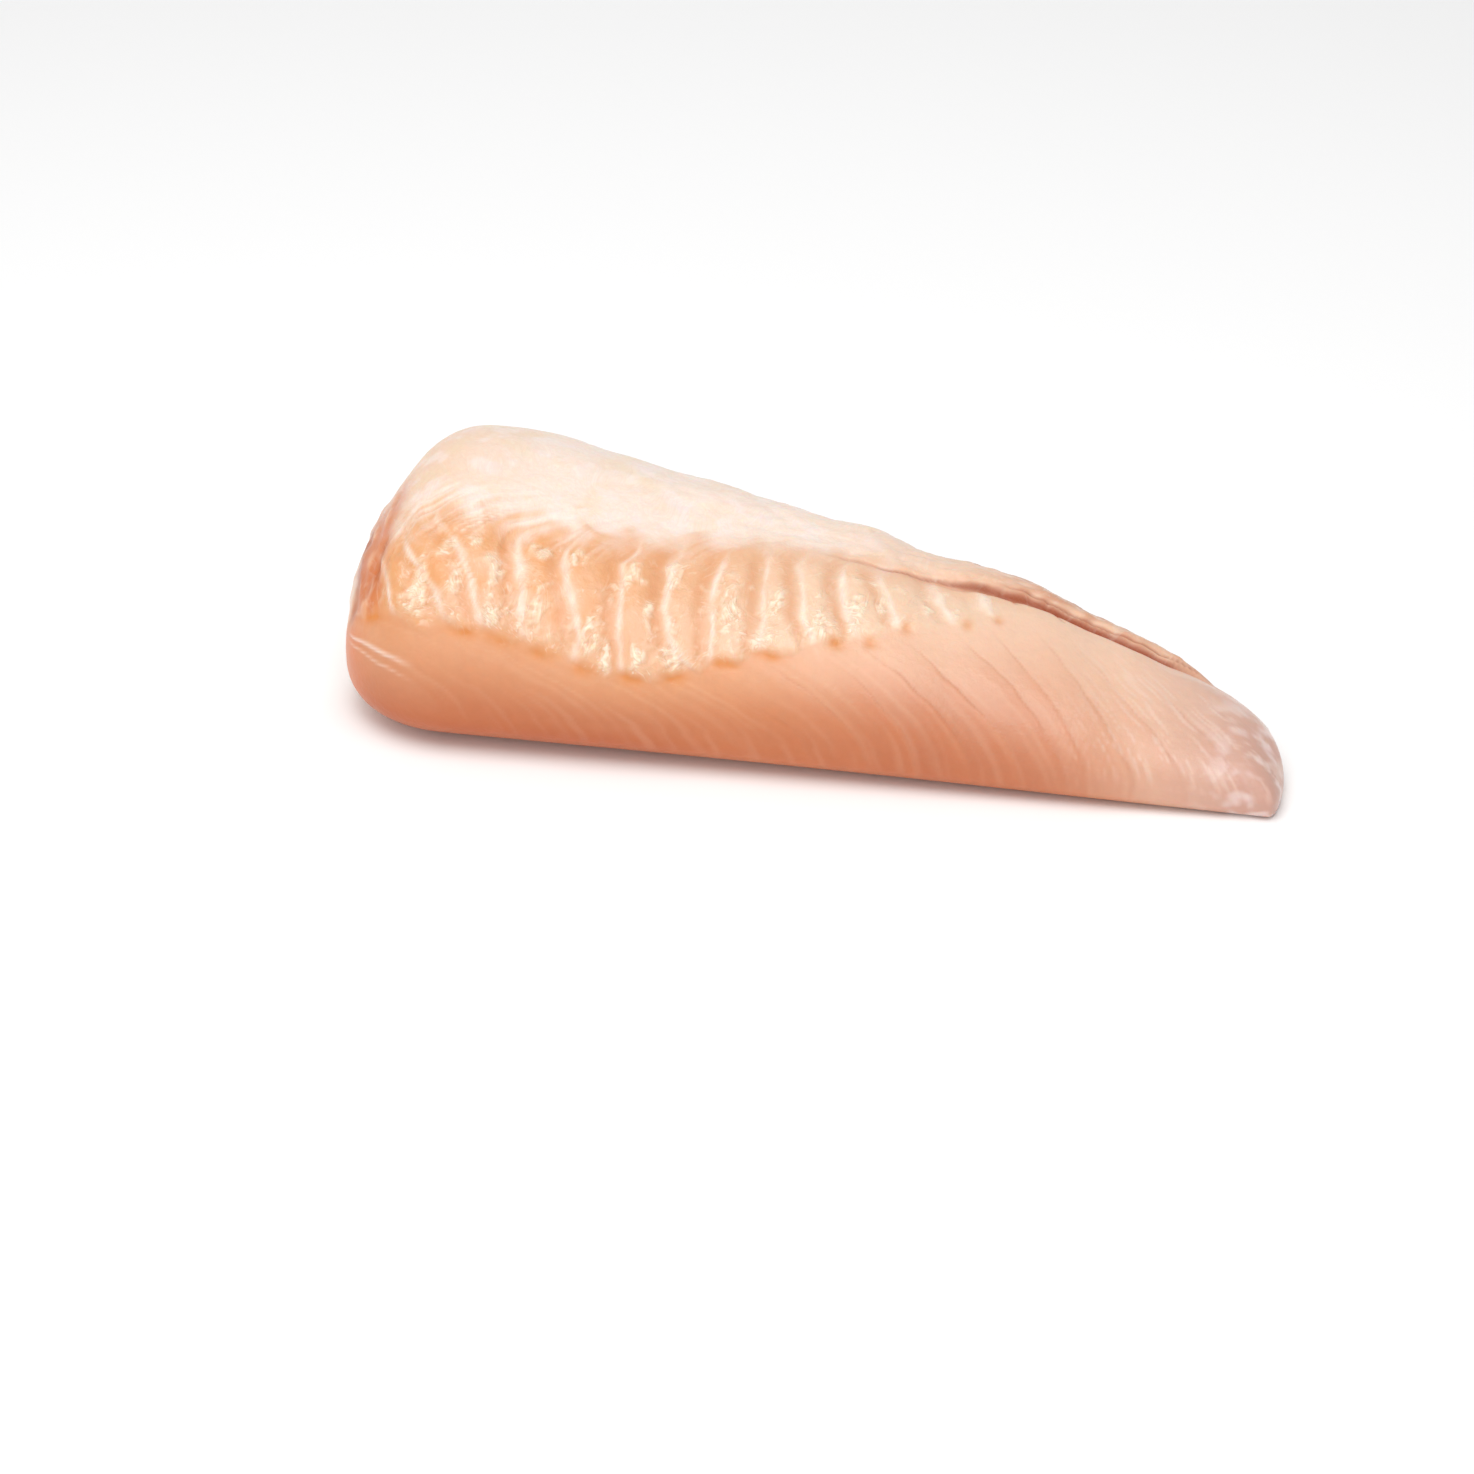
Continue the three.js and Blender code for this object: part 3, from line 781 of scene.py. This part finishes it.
# Where the membrane is crinkled, and the way along it that the crinkles follow.
creased = np.clip(scraps + 0.35 * film + 0.2 * in_band, 0, 1) * (0.35 + 0.65 * firm)
creased = creased + 0.25 * crown
paint("crinkled", creased * open_end * smooth(full, 0.35, 0.6))
way = mesh.attributes.new("way", "FLOAT_VECTOR", "POINT")
flat_way = np.stack([x, curl_way, np.zeros_like(x)], -1) / 1000
way.data.foreach_set("vector", flat_way[ring, column].astype(np.float32).ravel())


def linear(colour):
    """A colour written as sRGB hex, as the linear values that Blender works in."""
    parts = [int(colour[i : i + 2], 16) / 255 for i in (1, 3, 5)]
    return [p / 12.92 if p <= 0.04045 else ((p + 0.055) / 1.055) ** 2.4 for p in parts] + [1]


def add(tree, kind, inputs, **settings):
    """Adds a node with its settings. An input is a value, or the output that feeds it."""
    node = tree.nodes.new(kind)
    for name, value in settings.items():
        setattr(node, name, value)
    for socket, value in inputs.items():
        if isinstance(value, bpy.types.NodeSocket):
            tree.links.new(value, node.inputs[socket])
        else:
            node.inputs[socket].default_value = value
    return node


# Raw cod: pale muscle that light soaks into, under a film of water and membrane. The film makes
# it glossy, and the light that comes back out of the flesh makes it look soft and translucent.
# Its patterns repeat this many times in a metre: clouds 18 mm across, flecks 2.5 mm, the
# membrane's creases 3 mm and the grain of the flesh 1.4 mm.
CLOUDS_PER_METRE = 55
FLECKS_PER_METRE = 400
CREASES_PER_METRE = 340
GRAINS_PER_METRE = 700
raw_cod = bpy.data.materials.new("raw_cod_flesh")
raw_cod.use_nodes = True
tree = raw_cod.node_tree
tree.nodes.clear()

# Its colours lie over each other in this order: the painted mask, the colour, how much of it
# covers what is under it, and how rough it leaves the surface.
LAYERS = [
    ("pale_loin", "#f6d3ba", 0.8, 0.34),
    # Low down: the loin's own deeper orange with painted shade over it, then a painted contact shade.
    ("low", "#c46c3e", 0.85, 0.34),
    ("contact_shade", "#b2542c", 0.42, 0.34),
    # Painted shade on the tail side of each flake.
    ("flake_side", "#cf7c50", 0.4, 0.34),
    ("grain", "#f4cdae", 0.12, 0.34),
    ("crown", "#f9e4d6", 1.0, 0.42),
    ("head_tint", "#edc4a2", 0.65, 0.36),
    ("streak", "#f4d6bb", 0.26, 0.42),
    ("buff", "#f1d6b0", 0.4, 0.42),
    ("blush", "#fbebe6", 0.5, 0.36),
    ("membrane", "#eab892", 0.9, 0.26),
    ("curl_gold", "#f0b880", 0.55, 0.3),
    # Cream on the curl ridges: partly the membrane's own colour, partly a painted highlight.
    ("cream", "#fdeee2", 0.7, 0.26),
    ("gold", "#e69f60", 0.68, 0.26),
    ("pale_band", "#f7dec6", 0.6, 0.26),
    # Painted shade in the valleys beside the seams.
    ("valley", "#e09a6a", 0.55, 0.26),
    ("film", "#f0cfb2", 0.42, 0.22),
    ("flake", "#c8805c", 0.5, 0.36),
    ("tail", "#cb9f92", 0.82, 0.38),
    ("milk", "#f4e2de", 0.6, 0.3),
    ("wisps", "#f4ddcf", 0.3, 0.32),
    ("strip", "#edc3a4", 0.85, 0.42),
    ("tan", "#c07c5c", 0.6, 0.42),
    ("flap_edge", "#a8684a", 0.55, 0.5),
    ("dried", "#c46a34", 0.5, 0.45),
    ("rim_flesh", "#cf6c38", 0.75, 0.45),
    ("thin_edge", "#e07c44", 0.75, 0.4),
    # Scraps: partly the membrane's own colour, partly a painted highlight.
    ("scraps", "#fcebd3", 0.85, 0.2),
    ("ribbon", "#fbe8d8", 0.92, 0.2),
    # Painted shade in the pits under the scallops.
    ("pit_shade", "#e08a3c", 0.95, 0.3),
    # The rim's edge and crease: partly brown-red flesh, partly painted shade; the fold crests partly
    # a painted highlight.
    ("rim_dark", "#c4622e", 0.55, 0.5),
    ("rim_fold", "#f2c09c", 0.6, 0.35),
    ("rim", "#9c4218", 0.75, 0.5),
    # Painted shade along the groove.
    ("groove_shade", "#d9936c", 0.7, 0.6),
    ("groove", "#a04a28", 0.95, 0.6),
    # The pale fold: partly its own flesh, partly a painted highlight.
    ("pale_fold", "#fbe2d4", 0.7, 0.25),
    ("skinned", "#e6c2b0", 0.85, 0.3),
    ("silver", "#efe2dc", 0.6, 0.2),
    ("muscle_line", "#b87c66", 0.45, 0.35),
    ("chevron", "#f4e6dd", 0.5, 0.3),
    ("cut_face", "#edc3a6", 0.95, 0.3),
    ("cut_pale", "#f7e0d0", 0.55, 0.28),
    ("cut_arc", "#d89c7a", 0.3, 0.36),
]

place = add(tree, "ShaderNodeTexCoord", {})
in_flesh = place.outputs["Object"]
broad = add(
    tree, "ShaderNodeTexNoise", {"Vector": in_flesh, "Scale": CLOUDS_PER_METRE, "Detail": 3}
)
mottle = add(
    tree, "ShaderNodeTexNoise", {"Vector": in_flesh, "Scale": FLECKS_PER_METRE, "Detail": 3}
)
colour = add(
    tree,
    "ShaderNodeMix",
    {0: broad.outputs["Fac"], 6: linear("#dc9668"), 7: linear("#e7ae86")},
    data_type="RGBA",
).outputs[2]
gloss = 0.42
for name, tint, strength, roughness in LAYERS:
    mask = add(tree, "ShaderNodeAttribute", {}, attribute_name=name)
    amount = add(
        tree,
        "ShaderNodeMath",
        {0: mask.outputs["Fac"], 1: strength},
        operation="MULTIPLY",
        use_clamp=True,
    ).outputs[0]
    colour = add(
        tree, "ShaderNodeMix", {0: amount, 6: colour, 7: linear(tint)}, data_type="RGBA"
    ).outputs[2]
    gloss = add(
        tree, "ShaderNodeMix", {0: amount, 2: gloss, 3: roughness}, data_type="FLOAT"
    ).outputs[0]

# The membrane is crinkled finer than the mesh can carry, so its smallest creases, about 3 mm
# apart, are drawn here: a golden painted shade in the creases, and a painted pale glint on the
# ridges between them.
along_membrane = add(tree, "ShaderNodeAttribute", {}, attribute_name="way").outputs["Vector"]
crinkled = add(tree, "ShaderNodeAttribute", {}, attribute_name="crinkled").outputs["Fac"]
crinkle = add(
    tree,
    "ShaderNodeTexNoise",
    {"Vector": along_membrane, "Scale": CREASES_PER_METRE, "Detail": 2, "Distortion": 1.6},
).outputs["Fac"]
from_crease = add(tree, "ShaderNodeMath", {0: crinkle, 1: 0.5}, operation="SUBTRACT").outputs[0]
from_crease = add(tree, "ShaderNodeMath", {0: from_crease}, operation="ABSOLUTE").outputs[0]
crease_ridge = add(
    tree, "ShaderNodeMapRange", {"Value": from_crease, "From Min": 0.0, "From Max": 0.09}
).outputs["Result"]
crease = add(tree, "ShaderNodeMath", {0: 1.0, 1: crease_ridge}, operation="SUBTRACT").outputs[0]
crease = add(tree, "ShaderNodeMath", {0: crease, 1: crinkled}, operation="MULTIPLY").outputs[0]
# A golden painted shade in the creases.
crease_shade = add(tree, "ShaderNodeMath", {0: crease, 1: 0.35}, operation="MULTIPLY").outputs[0]
colour = add(
    tree, "ShaderNodeMix", {0: crease_shade, 6: colour, 7: linear("#e2a672")}, data_type="RGBA"
).outputs[2]
glint = add(
    tree, "ShaderNodeMapRange", {"Value": crinkle, "From Min": 0.58, "From Max": 0.7}
).outputs["Result"]
glint = add(tree, "ShaderNodeMath", {0: glint, 1: crinkled}, operation="MULTIPLY").outputs[0]
glint = add(tree, "ShaderNodeMath", {0: glint, 1: 0.6}, operation="MULTIPLY").outputs[0]
colour = add(
    tree, "ShaderNodeMix", {0: glint, 6: colour, 7: linear("#fdeeda")}, data_type="RGBA"
).outputs[2]

# Small flecks break up every layer, so no part of the flesh is one even colour.
fleck = add(
    tree,
    "ShaderNodeMapRange",
    {
        "Value": mottle.outputs["Fac"],
        "From Min": 0.3,
        "From Max": 0.7,
        "To Min": 0.98,
        "To Max": 1.02,
    },
)
colour = add(
    tree,
    "ShaderNodeMix",
    {0: 1.0, 6: colour, 7: fleck.outputs["Result"]},
    data_type="RGBA",
    blend_type="MULTIPLY",
).outputs[2]

# The grain of the flesh and the creases of the membrane also stand up a little.
fine_grain = add(
    tree, "ShaderNodeTexNoise", {"Vector": in_flesh, "Scale": GRAINS_PER_METRE, "Detail": 4}
)
bump = add(
    tree,
    "ShaderNodeBump",
    {"Height": fine_grain.outputs["Fac"], "Strength": 0.3, "Distance": 0.0005},
)
bump = add(
    tree,
    "ShaderNodeBump",
    {
        "Height": crease_ridge,
        "Strength": crinkled,
        "Distance": 0.00008,
        "Normal": bump.outputs["Normal"],
    },
)
flesh = add(
    tree,
    "ShaderNodeBsdfPrincipled",
    {
        "Base Color": colour,
        "Roughness": gloss,
        "IOR": 1.36,
        "Subsurface Weight": 0.35,
        "Subsurface Radius": (1.0, 0.4, 0.22),
        "Subsurface Scale": 0.004,
        "Coat Weight": 0.18,
        "Coat Roughness": 0.12,
        "Normal": bump.outputs["Normal"],
        "Coat Normal": bump.outputs["Normal"],
    },
)
add(tree, "ShaderNodeOutputMaterial", {"Surface": flesh.outputs["BSDF"]})
mesh.materials.append(raw_cod)

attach(fillet, "root")
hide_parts("cod_fillet")


# ---------------------------------------------------------------------------------------------
# The floor: a plain sheet of white studio paper, laid flat and far wider than the view. It is
# there to carry the fillet's shadow.

FLOOR_WIDTH = 8000
bpy.ops.object.select_all(action="DESELECT")
bpy.ops.mesh.primitive_plane_add(size=FLOOR_WIDTH / 1000)
floor = bpy.context.object
floor.name = "floor"

# White studio paper: matt, so it shows soft shadows and no reflection.
studio_paper = bpy.data.materials.new("white_studio_paper")
studio_paper.use_nodes = True
paper_shader = studio_paper.node_tree.nodes["Principled BSDF"]
paper_shader.inputs["Base Color"].default_value = linear("#ffffff")
paper_shader.inputs["Roughness"].default_value = 0.9
floor.data.materials.append(studio_paper)


# ---------------------------------------------------------------------------------------------
# The studio: a white room that glows evenly, one large soft light above, and a soft fill from
# the camera's left.

ROOM_GLOW = 0.53
white_room = bpy.data.worlds.new("white_room")
bpy.context.scene.world = white_room
white_room.use_nodes = True
room_shader = white_room.node_tree.nodes["Background"]
room_shader.inputs["Color"].default_value = linear("#ffffff")
room_shader.inputs["Strength"].default_value = ROOM_GLOW


FILLET_MIDDLE = (0, 0, 20)


def soft_light(name, place_mm, size_mm, watts):
    """A square soft light at a place, turned to the middle of the fillet."""
    bpy.ops.object.select_all(action="DESELECT")
    bpy.ops.object.light_add(type="AREA", location=Vector(place_mm) / 1000)
    light = bpy.context.object
    light.name = name
    light.data.energy = watts
    light.data.shape = "SQUARE"
    light.data.size = size_mm / 1000
    toward = Vector(FILLET_MIDDLE) - Vector(place_mm)
    light.rotation_euler = toward.to_track_quat("-Z", "Y").to_euler()


soft_light("softbox_above", place_mm=(-60, -260, 1100), size_mm=900, watts=7.6)
soft_light("softbox_front", place_mm=(-500, -1300, 900), size_mm=1300, watts=5)

# The camera looks down on the front from a little to the right, at the photograph's angle.
VIEW_TURN = 10
VIEW_RISE = 32
VIEW_DISTANCE = 1040
VIEW_AIM = (-17.9, -25.8, -3.2)
FRAME_PIXELS = 1474
FOCAL_PIXELS = 4200
SENSOR_WIDTH = 36

azimuth = math.radians(VIEW_TURN)
elevation = math.radians(VIEW_RISE)
level = math.cos(elevation)
toward_camera = Vector(
    (math.sin(azimuth) * level, -math.cos(azimuth) * level, math.sin(elevation))
)
bpy.ops.object.select_all(action="DESELECT")
bpy.ops.object.camera_add(
    location=(Vector(VIEW_AIM) + toward_camera * VIEW_DISTANCE) / 1000,
    rotation=(math.pi / 2 - elevation, 0, azimuth),
)
camera = bpy.context.object
camera.data.sensor_width = SENSOR_WIDTH
camera.data.lens = FOCAL_PIXELS / FRAME_PIXELS * SENSOR_WIDTH
camera.data.clip_end = 100
bpy.context.scene.camera = camera
bpy.context.scene.view_settings.view_transform = "Standard"
